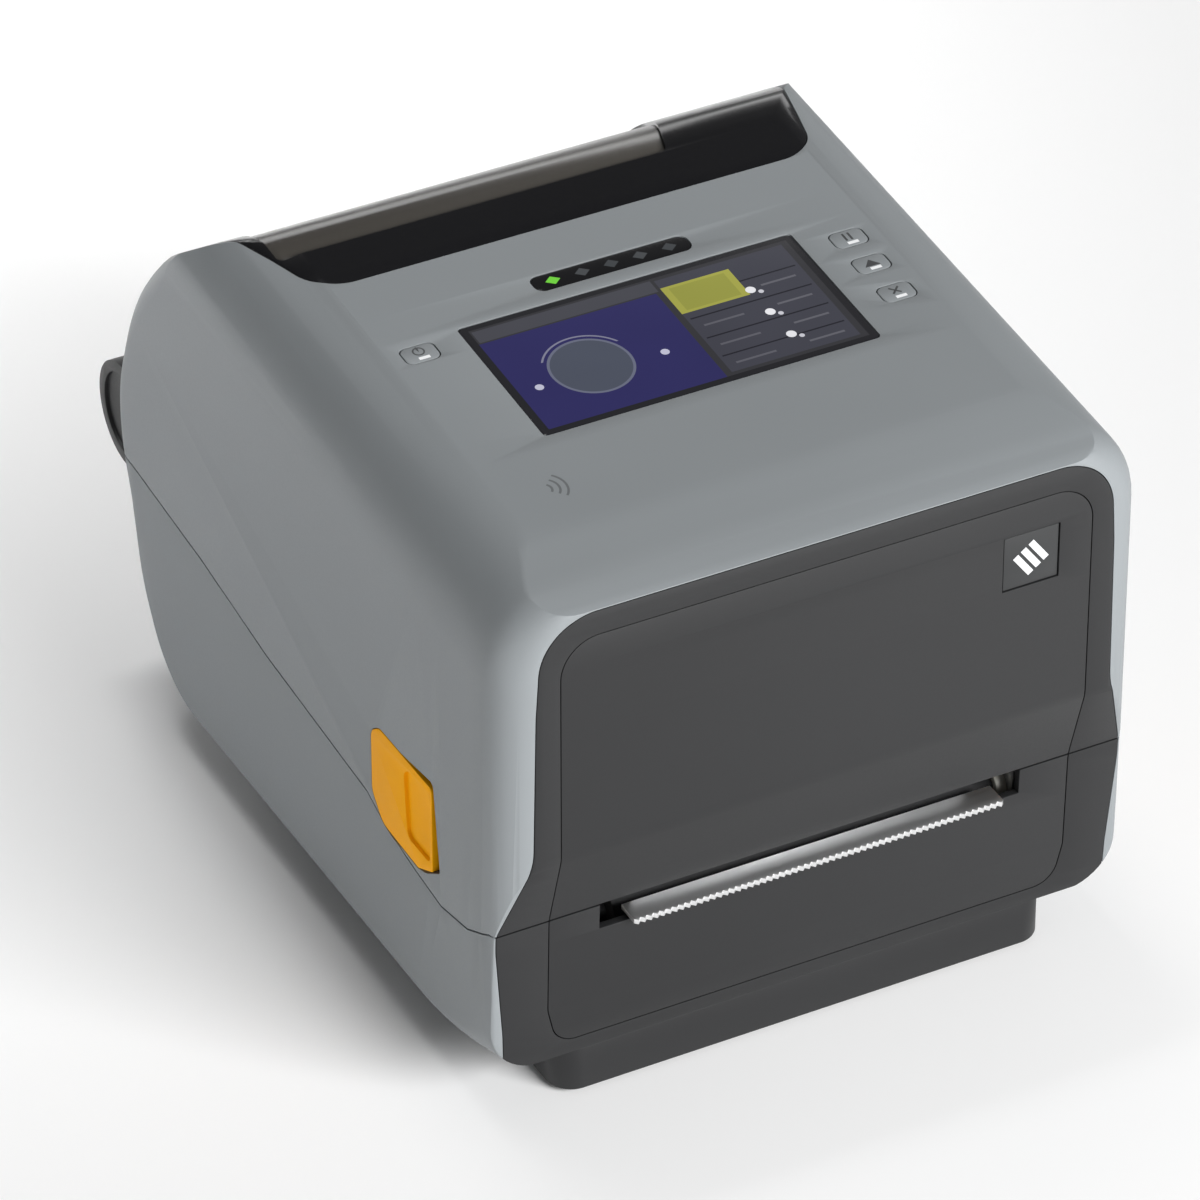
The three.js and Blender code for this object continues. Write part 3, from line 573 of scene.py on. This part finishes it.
def moulded(name, colour, rough, grain, depth, mottle, shine=0.5, print_on=None):
    """Moulded plastic: a fine spark texture, a faint cloudiness and an uneven sheen."""
    material, shader, place = begin(name)
    cloud = noise(place, 14.0, 2.0)
    low = [c * (1 - mottle) for c in colour]
    high = [min(c * (1 + mottle), 1) for c in colour]
    shade = mix(cloud, low, high)
    if print_on:
        shade = mix(print_on(place), shade, (0.03, 0.03, 0.032))
    Wire.feed(shader.inputs["Base Color"], shade)
    spark = noise(place, grain, 2.0, 0.6)
    Wire.feed(shader.inputs["Roughness"], spark * 0.12 + cloud * 0.06 + (rough - 0.09))
    Wire.feed(shader.inputs["Specular IOR Level"], shine)
    relief(shader, 0.35, depth, spark)
    return material


def moulded_grey(name, print_on=None):
    return moulded(name, (0.225, 0.242, 0.252), 0.5, 1500.0, 0.02, 0.06, print_on=print_on)


grey_plastic = moulded_grey("grey_plastic")

cover = outer_form(0)
shell_inside = outer_form(wall)
upper_half = carve(twin(cover), part_side(gap, far_z), "INTERSECT")
upper_shell = carve(twin(upper_half), twin(shell_inside))
lower_shell = carve(carve(cover, part_side(-gap, -5), "INTERSECT"), twin(shell_inside))

top_cover = carve(twin(upper_shell), front_cut(upper_outline, 0))
carve(top_cover, bar("z", rounded(window_outline), window_low, far_z))
through = (-wall - 2, 3)
carve(top_cover, top_plate(0, display_v, display_size, *through, 1.5))
carve(top_cover, top_plate(bar_u, bar_v, bar_size, *through, 3))
for u, v in buttons.values():
    carve(top_cover, top_plate(u, v, button_size, *through, 2.5))
for side in (-1, 1):
    carve(top_cover, latch_pocket(side))
    carve(top_cover, hinge_slot(side))
printed_grey = moulded_grey("printed_grey", touch_mark)
finish_piece(top_cover, "cover_moulding", "lid", ["top_cover"], printed_grey)

# ---- Front bezels and panels ------------------------------------------------------------
# A charcoal frame runs round the front of the cover and goes on down the base. Two flush
# centre panels clip into it, with a fine shadow line round each.
dark_plastic = moulded("dark_plastic", (0.014, 0.0143, 0.0152), 0.48, 1800.0, 0.015, 0.1, 0.4)
upper_panel_outline = [(-83, 40, 0), (83, 40, 0), (83, 164.3, 12), (-83, 164.3, 12)]
lower_panel_outline = [(-80, 21, 8), (80, 21, 8), (83, 34, 8), (83, 90, 0), (-83, 90, 0), (-83, 34, 8)]
slot_half = 67
slot_low = 57.8
emblem_x, emblem_z, emblem_size, emblem_deep = 63.5, 145, 18, 1.2

upper_skin = carve(twin(upper_shell), front_cut(upper_outline, gap, bezel_back - gap), "INTERSECT")
lower_skin = carve(twin(lower_shell), front_cut(lower_outline, gap, bezel_back - gap), "INTERSECT")
carve(lower_skin, block(-slot_half, slot_half, front_y - 5, bezel_back + 5, slot_low, parting_z + 5))
upper_bezel = carve(twin(upper_skin), front_cut(upper_panel_outline, 0))
lower_bezel = carve(twin(lower_skin), front_cut(lower_panel_outline, 0))
upper_panel = carve(upper_skin, front_cut(upper_panel_outline, gap), "INTERSECT")
lower_panel = carve(lower_skin, front_cut(lower_panel_outline, gap), "INTERSECT")


def emblem_block(width, y0, y1):
    """A square block round the middle of the emblem."""
    e = width / 2
    return block(emblem_x - e, emblem_x + e, y0, y1, emblem_z - e, emblem_z + e)


carve(upper_panel, emblem_block(emblem_size, front_y - 5, front_y + emblem_deep))
for item, name, body, node in (
    (upper_bezel, "cover_bezel", "lid", "upper_bezel"),
    (upper_panel, "cover_panel", "lid", "upper_front_panel"),
    (lower_bezel, "base_bezel", "base", "lower_bezel"),
    (lower_panel, "base_panel", "base", "lower_front_panel"),
):
    finish_piece(item, name, body, [node], dark_plastic)

# ---- Base shell -------------------------------------------------------------------------
# The grey tub that everything stands in, moulded like the cover, with a recess across the
# back for the connectors.
pocket_half, pocket_low, pocket_high, pocket_y, pocket_plate = 64, 42, 78, 103.4, 2.2
base_shell = carve(lower_shell, front_cut(lower_outline, 0))
surround = as_object(block(
    -pocket_half - wall, pocket_half + wall, pocket_y - pocket_plate - gap, 140,
    pocket_low - wall, pocket_high + wall), "surround")
carve(surround, outer_form(0), "INTERSECT")
carve(base_shell, surround, "UNION")
carve(base_shell, block(-pocket_half, pocket_half, pocket_y - 20, 150, pocket_low, pocket_high))
for side in (-1, 1):
    carve(base_shell, latch_pocket(side))
    carve(base_shell, hinge_slot(side))
bpy.data.objects.remove(shell_inside)
bpy.data.objects.remove(upper_half)
finish_piece(base_shell, "base_moulding", "base", ["base_shell"], grey_plastic)

# ---- Emblem -----------------------------------------------------------------------------
# A small square badge, glued into a shallow recess in the cover's panel. It carries a plain
# pattern of light bars.
def badge_finish():
    material, shader, place = begin("emblem_plastic")
    x, _, z = coordinates(place)
    x, z = x - emblem_x, z - emblem_z
    leaning = x * 0.8 + z * 0.6
    rising = z * 0.8 - x * 0.6
    bars = either(*((leaning - middle).within(-1, 1) for middle in (-3, 0, 3)))
    mark = bars * (rising.size() < 4.2)
    Wire.feed(shader.inputs["Base Color"], mix(mark, (0.02, 0.021, 0.022), (0.62, 0.63, 0.64)))
    Wire.feed(shader.inputs["Roughness"], noise(place, 60.0) * 0.12 + 0.28)
    return material


badge = as_object(
    emblem_block(emblem_size - 2 * gap, front_y + gap, front_y + emblem_deep - gap), "badge")
finish_piece(badge, "badge", "lid", ["emblem_plate"], badge_finish(), 0.25)

# ---- Window -----------------------------------------------------------------------------
# A gloss black moulding clips into the top of the cover. It holds a smoked see-through pane
# over the label roll, cut at a slant at its right end.
pane_outline = [(-83, 35.9, 3), (40, 35.9, 3), (56, 79.9, 12), (56, 150, 0), (-83, 150, 0)]
pane_low = window_low + 8


def polished(name, colour, rough, shine=0.5, clear=1.0):
    """Gloss plastic or glass, with the faint unevenness of a moulded face and a little dust."""
    material, shader, place = begin(name)
    wave = noise(place, 22.0, 1.0)
    dust = noise(place, 700.0, 4.0, 0.7)
    Wire.feed(shader.inputs["Base Color"], mix(dust, colour, [c * 1.3 + 0.002 for c in colour]))
    Wire.feed(shader.inputs["Roughness"], dust * 0.08 + wave * 0.05 + (rough - 0.05))
    Wire.feed(shader.inputs["Specular IOR Level"], shine)
    Wire.feed(shader.inputs["Alpha"], clear)
    relief(shader, 0.15, 0.05, wave)
    return material


def from_above(corners, clear, low):
    """An outline seen from above, moved in by a gap, with everything over it."""
    return bar("z", rounded(inset(corners, clear)), low + clear, far_z)


window_frame = carve(upper_shell, from_above(window_outline, gap, window_low), "INTERSECT")
pane = carve(outer_form(0.9), outer_form(wall))
carve(pane, from_above(window_outline, gap, pane_low), "INTERSECT")
carve(pane, from_above(pane_outline, gap, pane_low), "INTERSECT")
carve(window_frame, bar("z", rounded(pane_outline), pane_low, far_z))
gloss = polished("window_black", (0.004, 0.004, 0.005), 0.16, 0.3)
finish_piece(window_frame, "window_moulding", "lid", ["window_frame"], gloss, 0.5)
smoked = polished("smoked_pane", (0.05, 0.045, 0.038), 0.2, 0.8, 0.9)
finish_piece(pane, "window_lens", "lid", ["window_pane"], smoked, 0.2)

# ---- Display ----------------------------------------------------------------------------
# A colour touch panel under a flush sheet of glass in the sloping top, lit: a work area with
# a dial on the left, and a list with a highlighted button on the right.
def plain_colour(colour):
    """A colour that others are put over."""
    wire = Wire.node("ShaderNodeRGB")
    wire.socket.default_value = (*colour, 1)
    return wire


def screen_finish():
    material, shader, place = begin("display_glass")
    u, v = on_face(place)
    s_share = (u + display_size[0] / 2) * (1 / display_size[0])
    t_share = 0.5 - (v - display_v) * (1 / display_size[1])
    picture = plain_colour((0.012, 0.012, 0.014))

    def put(share, colour):
        nonlocal picture
        picture = mix(share, picture, colour)

    def area(s0, s1, t0, t1):
        """A rectangle, as shares of the screen from its left and its far edge."""
        return s_share.within(s0, s1) * t_share.within(t0, t1)

    # The lit area, the work area and the bar over it.
    put(area(0.025, 0.975, 0.045, 0.955), (0.03, 0.03, 0.034))
    put(area(0.025, 0.55, 0.17, 0.955), (0.022, 0.02, 0.1))
    put(area(0.03, 0.56, 0.06, 0.16), (0.055, 0.056, 0.068))
    # The dial, its rim, the arc over it and a dot on either side.
    away = from_point(u, v, -26.5, -3.5)
    put(away < 12.4, (0.065, 0.075, 0.105))
    put(away.within(11.6, 12.4), (0.13, 0.14, 0.2))
    put(away.within(13.4, 14.0) * (v > 3.5), (0.2, 0.2, 0.28))
    for dot_u, dot_v in ((-44, -6), (-5, -6.5)):
        put(from_point(u, v, dot_u, dot_v) < 1.3, (0.5, 0.5, 0.62))
    # The list with its rows, the highlighted button and a round sign at the end of each row.
    put(area(0.57, 0.955, 0.07, 0.93), (0.046, 0.047, 0.062))
    for row in (0.26, 0.44, 0.62, 0.79):
        put(area(0.58, 0.945, row - 0.005, row + 0.006), (0.012, 0.012, 0.018))
        put(area(0.82, 0.925, row + 0.07, row + 0.085), (0.11, 0.11, 0.13))
        put(area(0.6, 0.72, row + 0.07, row + 0.085), (0.1, 0.1, 0.12))
    put(area(0.57, 0.775, 0.14, 0.385), (0.34, 0.34, 0.06))
    put(area(0.59, 0.755, 0.16, 0.365), (0.28, 0.285, 0.05))
    for sign_u, sign_v in ((30.2, 8.5), (30.4, -2.7), (30.8, -14.2)):
        put(from_point(u, v, sign_u, sign_v) < 1.5, (0.75, 0.75, 0.78))
        put(from_point(u, v, sign_u + 2.4, sign_v - 1.8) < 0.8, (0.55, 0.55, 0.6))
    glow = noise(place, 30.0, 1.0) * 0.3 + 0.85
    shader.inputs["Base Color"].default_value = (0.004, 0.004, 0.005, 1)
    Wire.feed(shader.inputs["Emission Color"], Wire.node(
        "ShaderNodeVectorMath", {"operation": "SCALE"}, _0=picture, _3=glow))
    shader.inputs["Emission Strength"].default_value = 1.0
    shader.inputs["Specular IOR Level"].default_value = 0.35
    Wire.feed(shader.inputs["Roughness"], noise(place, 400.0, 3.0) * 0.08 + 0.1)
    return material


def smaller(size, clear):
    return size[0] - 2 * clear, size[1] - 2 * clear


glass = as_object(top_plate(0, display_v, smaller(display_size, gap), -1.4, -0.1, 1.5), "glass")
finish_piece(
    glass, "display_glass_sheet", "lid", ["display_glass"], screen_finish(), 0.3)

# ---- Status light bar -------------------------------------------------------------------
# A gloss black strip behind the display with five lamps moulded in. The first is lit green.
def lamp_finish():
    material, shader, place = begin("lamp_strip")
    u, v = on_face(place)
    lit, off, dim = (0.16, 0.62, 0.05), (0.06, 0.065, 0.07), (0.05, 0.055, 0.06)
    picture = plain_colour((0.003, 0.003, 0.004))
    for lamp_u, colour in ((-18, lit), (-8.7, off), (0.5, dim), (9.7, off), (19, dim)):
        away = (u - lamp_u).size() * 0.8 + (v - bar_v).size()
        picture = mix(away < 1.9, picture, colour)
    shader.inputs["Base Color"].default_value = (0.004, 0.004, 0.004, 1)
    Wire.feed(shader.inputs["Emission Color"], picture)
    shader.inputs["Emission Strength"].default_value = 1.0
    shader.inputs["Specular IOR Level"].default_value = 0.3
    Wire.feed(shader.inputs["Roughness"], noise(place, 500.0) * 0.1 + 0.12)
    return material


strip = as_object(top_plate(bar_u, bar_v, smaller(bar_size, gap), -2.2, -0.1, 2.8), "strip")
finish_piece(strip, "lamp_strip", "lid", ["status_light_bar"], lamp_finish(), 0.3)

# ---- Buttons ----------------------------------------------------------------------------
# Four grey plastic caps, flush with the top, each with a printed sign and a small light mark.
def cap_finish(name, u0, v0):
    def sign(place):
        u, v = on_face(place)
        away = from_point(u, v, u0, v0 + 1.0)
        if name == "power":
            stem = (u - u0).size() * 3 + (v - v0 - 2).size() * 0.8 < 1.1
            return either(away.within(1.35, 1.85), stem) * 0.85
        if name == "pause":
            return ((u - u0).size().within(0.5, 1.2) * ((v - v0 - 0.8).size() < 1.7)) * 0.9
        if name == "feed":
            arrow = ((u - u0).size() + (v - v0) * 0.8).within(-1.2, 1.6)
            return arrow * ((v - v0 - 0.6).size() < 1.7) * 0.9
        crossed = ((u - u0).size() - (v - v0 - 0.8).size()).size() < 0.45
        return crossed * (away < 2.0) * 0.9

    material = moulded_grey(f"cap_{name}", sign)
    shader = material.node_tree.nodes["Principled BSDF"]
    place = Wire.node("ShaderNodeTexCoord", out=3)
    u, v = on_face(place)
    mark = ((u - u0 - 0.4).size() < 1.7) * ((v - v0 + 2.1).size() < 0.6)
    under = Wire(shader.inputs["Base Color"].links[0].from_socket)
    Wire.feed(shader.inputs["Base Color"], mix(mark, under, (0.75, 0.76, 0.77)))
    return material


for name, (u, v) in buttons.items():
    cap = as_object(top_plate(u, v, smaller(button_size, running), -4, 0, 2.2), f"{name}_cap")
    grey = cap_finish(name, u, v)
    finish_piece(cap, f"{name}_cap", f"{name}_key", [f"{name}_button"], grey, 0.3)

# ---- Latches ----------------------------------------------------------------------------
# An orange lever in each side wall. Its lower end is pushed forwards to free the cover, and
# its hook holds a pin in the base. The face has a shallow scoop for the thumb.
latch_orange = moulded("latch_orange", (0.97, 0.42, 0.001), 0.45, 1500.0, 0.01, 0.04, 0.06)
arm_outline = [
    (-78, 104, 4), (-78, 62, 3), (-80, 49, 2), (-69.2, 49, 1), (-69.2, 52.4, 1), (-74.5, 52.6, 1),
    (-68, 66, 2), (-64, 90, 3), (-66, 106, 4),
]
scoop_outline = [(-89.5, 68, 2), (-75.5, 68, 3), (-73.5, 91.5, 4), (-89.5, 91.5, 2)]
for side, name in ((-1, "left"), (1, "right")):
    inside = half - wall
    latch = as_object(bar("x", rounded(latch_outline), *outwards(side, inside - 1, half)), "latch")
    carve(latch, bar("x", rounded(scoop_outline), *outwards(side, half - 1.1, half + 3)))
    arm = bar("x", rounded(arm_outline, 8), *outwards(side, inside - 5, inside - running))
    carve(latch, as_object(arm, "arm"), "UNION")
    carve(latch, rod(*outwards(side, inside - 6, inside - 1), latch_y, latch_z, 3.3))
    finish_piece(
        latch, f"latch_{name}_lever", "latches", [f"latch_{name}"], latch_orange, 0.5)

# ---- Tear bar ---------------------------------------------------------------------------
# A strip of bright steel with a fine saw edge, screwed behind the label slot.
def metal(name, colour, rough, stretch=(3, 120, 120)):
    """Drawn or milled metal: fine lines along one direction and an uneven sheen."""
    material, shader, place = begin(name)
    drawn = Wire.node("ShaderNodeVectorMath", {"operation": "MULTIPLY"}, _0=place, _1=stretch)
    line = noise(drawn, 12.0, 4.0, 0.7)
    cloud = noise(place, 25.0, 2.0)
    Wire.feed(shader.inputs["Base Color"], mix(cloud, [c * 0.9 for c in colour], colour))
    shader.inputs["Metallic"].default_value = 1.0
    Wire.feed(shader.inputs["Roughness"], line * 0.2 + (rough - 0.1))
    relief(shader, 0.3, 0.01, line)
    return material


saw_left, saw_right, saw_front, saw_rear, tooth = -58, 60, front_y + 3.4, front_y + 12, 2
saw = [(saw_right, saw_rear), (saw_left, saw_rear)]
for k in range((saw_right - saw_left) // tooth):
    saw += [(saw_left + k * tooth, saw_front + 1), (saw_left + (k + 0.5) * tooth, saw_front)]
saw.append((saw_right, saw_front + 1))
tear_bar = as_object(bar("z", saw, slot_low + 0.8, slot_low + 2.4), "tear_bar")
bright_steel = metal("bright_steel", (0.93, 0.93, 0.93), 0.42)
finish_piece(tear_bar, "tear_strip", "base", ["tear_bar"], bright_steel, 0.12)

# ---- Tray and feet ----------------------------------------------------------------------
# A dark moulded tray closes the bottom, a little smaller than the base, with four round
# rubber feet pressed into wells.
tray_half, tray_front, tray_rear = 79, front_y + 9.5, 62
tray_outline = [
    (-tray_half, tray_front, 8), (tray_half, tray_front, 8),
    (tray_half, tray_rear, 8), (-tray_half, tray_rear, 8),
]
tray = as_object(bar("z", rounded(tray_outline), 1.5, floor_z - gap), "tray")
foot_r, foot_high, foot_inset = 7, 4, 14
rubber = moulded("rubber", (0.012, 0.012, 0.013), 0.75, 900.0, 0.05, 0.2)
for sx, across_name in ((-1, "left"), (1, "right")):
    for y, along_name in ((tray_front + foot_inset, "front"), (tray_rear - foot_inset, "rear")):
        x = sx * (tray_half - foot_inset)
        carve(tray, bar("z", ring(x, y, foot_r + gap), 0, foot_high + gap))
        foot = as_object(bar("z", ring(x, y, foot_r), 0, foot_high), "foot")
        carve(foot, bar("z", ring(x, y, foot_r - 2.2), -1, 0.5))
        name = f"foot_{along_name}_{across_name}"
        finish_piece(foot, f"{name}_pad", "base", [name], rubber, 0.6)
finish_piece(tray, "tray_moulding", "base", ["base_tray"], dark_plastic, 1.2)

# ---- Hinge knuckles ---------------------------------------------------------------------
# Two dark barrels stand at the back of the base and carry the pins that the cover turns on.
# Each has a raised rim round its outer end.
for side, name in ((-1, "left"), (1, "right")):
    ends = outwards(side, 79.2, half - wall - 1)
    barrel = as_object(rod(*ends, hinge_y, hinge_z, knuckle_r), "barrel")
    rib = as_object(block(*ends, 88, 110, 60, 84), "rib")
    carve(rib, outer_form(wall + gap), "INTERSECT")
    carve(barrel, rib, "UNION")
    dish = outwards(side, half - wall - 2.2, half + 3)
    carve(barrel, rod(*dish, hinge_y, hinge_z, knuckle_r - 3.5))
    pin = rod(*outwards(side, 68, 85), hinge_y, hinge_z, 3)
    carve(barrel, as_object(pin, "pin"), "UNION")
    node = f"hinge_knuckle_{name}"
    finish_piece(barrel, f"knuckle_{name}", "base", [node], dark_plastic, 0.8)

# ---- Label roll -------------------------------------------------------------------------
# White labels on a backing web, wound on a card core. The ends show the turns of the web.
roll_y, roll_z, roll_r, roll_half, core_r = 30, 80, 52, 52, 12.7


def paper_finish():
    material, shader, place = begin("label_paper")
    _, y, z = coordinates(place)
    out = from_point(y, z, roll_y, roll_z)
    turns = (out * 9).math("SINE") * 0.5 + 0.5
    grain = noise(place, 900.0, 3.0)
    shade = mix(turns * 0.6 + grain * 0.4, (0.78, 0.77, 0.73), (0.86, 0.85, 0.82))
    card = mix(grain, (0.36, 0.25, 0.15), (0.43, 0.31, 0.19))
    Wire.feed(shader.inputs["Base Color"], mix(out < core_r + 1.6, shade, card))
    Wire.feed(shader.inputs["Roughness"], grain * 0.15 + 0.7)
    relief(shader, 0.4, 0.03, turns * 0.7 + grain * 0.3)
    return material


roll = as_object(rod(-roll_half, roll_half, roll_y, roll_z, roll_r), "roll")
carve(roll, rod(-roll_half - 5, roll_half + 5, roll_y, roll_z, core_r))
finish_piece(roll, "wound_labels", "roll", ["label_roll"], paper_finish(), 0.25)

# ---- Media bay, frame and deck ------------------------------------------------------------
# The black inner mouldings: the curved bay under the roll, the deck the web runs over, the
# cover's stiffening frame and the shell behind the display.
def recut(names, body, finish, edge=0.25):
    """The same pieces with their edges broken and their round faces smooth."""
    for name in names:
        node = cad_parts[name]
        bm = bmesh.new()
        bm.from_mesh(node.data)
        bmesh.ops.transform(bm, matrix=node.matrix_world, verts=bm.verts)
        piece = as_object(bm, name)
        finish_piece(piece, f"{name}_part", body, [name], finish, edge)


inner_plastic = moulded("inner_plastic", (0.026, 0.027, 0.029), 0.5, 1300.0, 0.02, 0.1)
recut(["roll_bay", "media_deck", "port_plate"], "base", inner_plastic)
recut(["cover_frame", "display_module", "ribbon_frame"], "lid", inner_plastic)

# ---- Roll holders -------------------------------------------------------------------------
# Two natural nylon discs on arms, tied to each other by racks and a pinion so that they stay
# centred on the roll.
nylon = moulded("nylon", (0.66, 0.64, 0.57), 0.4, 600.0, 0.01, 0.05)
recut(["roll_holder_left"], "left_holder", nylon)
recut(["roll_holder_right"], "right_holder", nylon)
recut(["centring_pinion"], "pinion", nylon, 0.1)

# ---- Print mechanism ----------------------------------------------------------------------
# Two folded steel plates carry a rubber roller in nylon bearings. A stepper motor drives it
# through a pinion, an idler and a gear. A label sensor slides along a rail behind it.
steel = metal("steel", (0.66, 0.67, 0.68), 0.36)
motor_metal = metal("motor_metal", (0.2, 0.2, 0.21), 0.45, (60, 60, 60))
recut(["chassis_plate_left", "chassis_plate_right", "sensor_rail"], "base", steel, 0.15)
recut(["stepper_motor"], "base", motor_metal, 0.4)
recut(["platen_bearing_left", "platen_bearing_right"], "base", nylon, 0.15)
recut(["platen_roller"], "platen", rubber, 0.3)
recut(["platen_gear"], "platen", nylon, 0.1)
recut(["idler_gear"], "idler", nylon, 0.1)
recut(["motor_pinion"], "motor_shaft", steel, 0.05)
recut(["sensor_carriage"], "sensor", inner_plastic, 0.3)

# ---- Print head and ribbon ----------------------------------------------------------------
# The head hangs from a steel bracket in the cover, pressed down by two coil springs. Above it
# the ribbon runs between two nylon spools.
head_aluminium = metal("head_aluminium", (0.78, 0.79, 0.8), 0.4, (3, 60, 60))
ribbon_film = polished("ribbon_film", (0.006, 0.006, 0.007), 0.3, 0.5)
recut(["printhead_bracket"], "print_head", steel)
recut(["printhead"], "print_head", head_aluminium)
recut(["ribbon_supply_spindle"], "ribbon_supply", nylon)
recut(["ribbon_roll"], "ribbon_supply", ribbon_film, 0.4)
recut(["ribbon_takeup_spindle"], "ribbon_takeup", nylon)
recut(["latch_shaft"], "latches", steel, 0.3)
recut(["head_spring_left", "head_spring_right"], "lid", steel, 0)
for name, x in (("head_spring_left", -32), ("head_spring_right", 32)):
    spring = bpy.data.objects[f"{name}_part"]
    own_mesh(spring)

# ---- Connectors ---------------------------------------------------------------------------
# Four sockets stand on a green circuit board and look out through the plate in the rear
# recess: serial, network, USB and the round low-voltage power inlet.
connector_steel = metal("connector_steel", (0.72, 0.72, 0.7), 0.33, (40, 40, 40))
circuit_board = moulded("circuit_board", (0.012, 0.09, 0.035), 0.35, 1200.0, 0.02, 0.2)
recut(["io_board"], "base", circuit_board, 0.15)
metal_sockets = ["serial_port", "ethernet_port", "usb_device_port"]
recut(metal_sockets, "base", connector_steel, 0.3)
recut(["power_inlet"], "base", inner_plastic, 0.4)
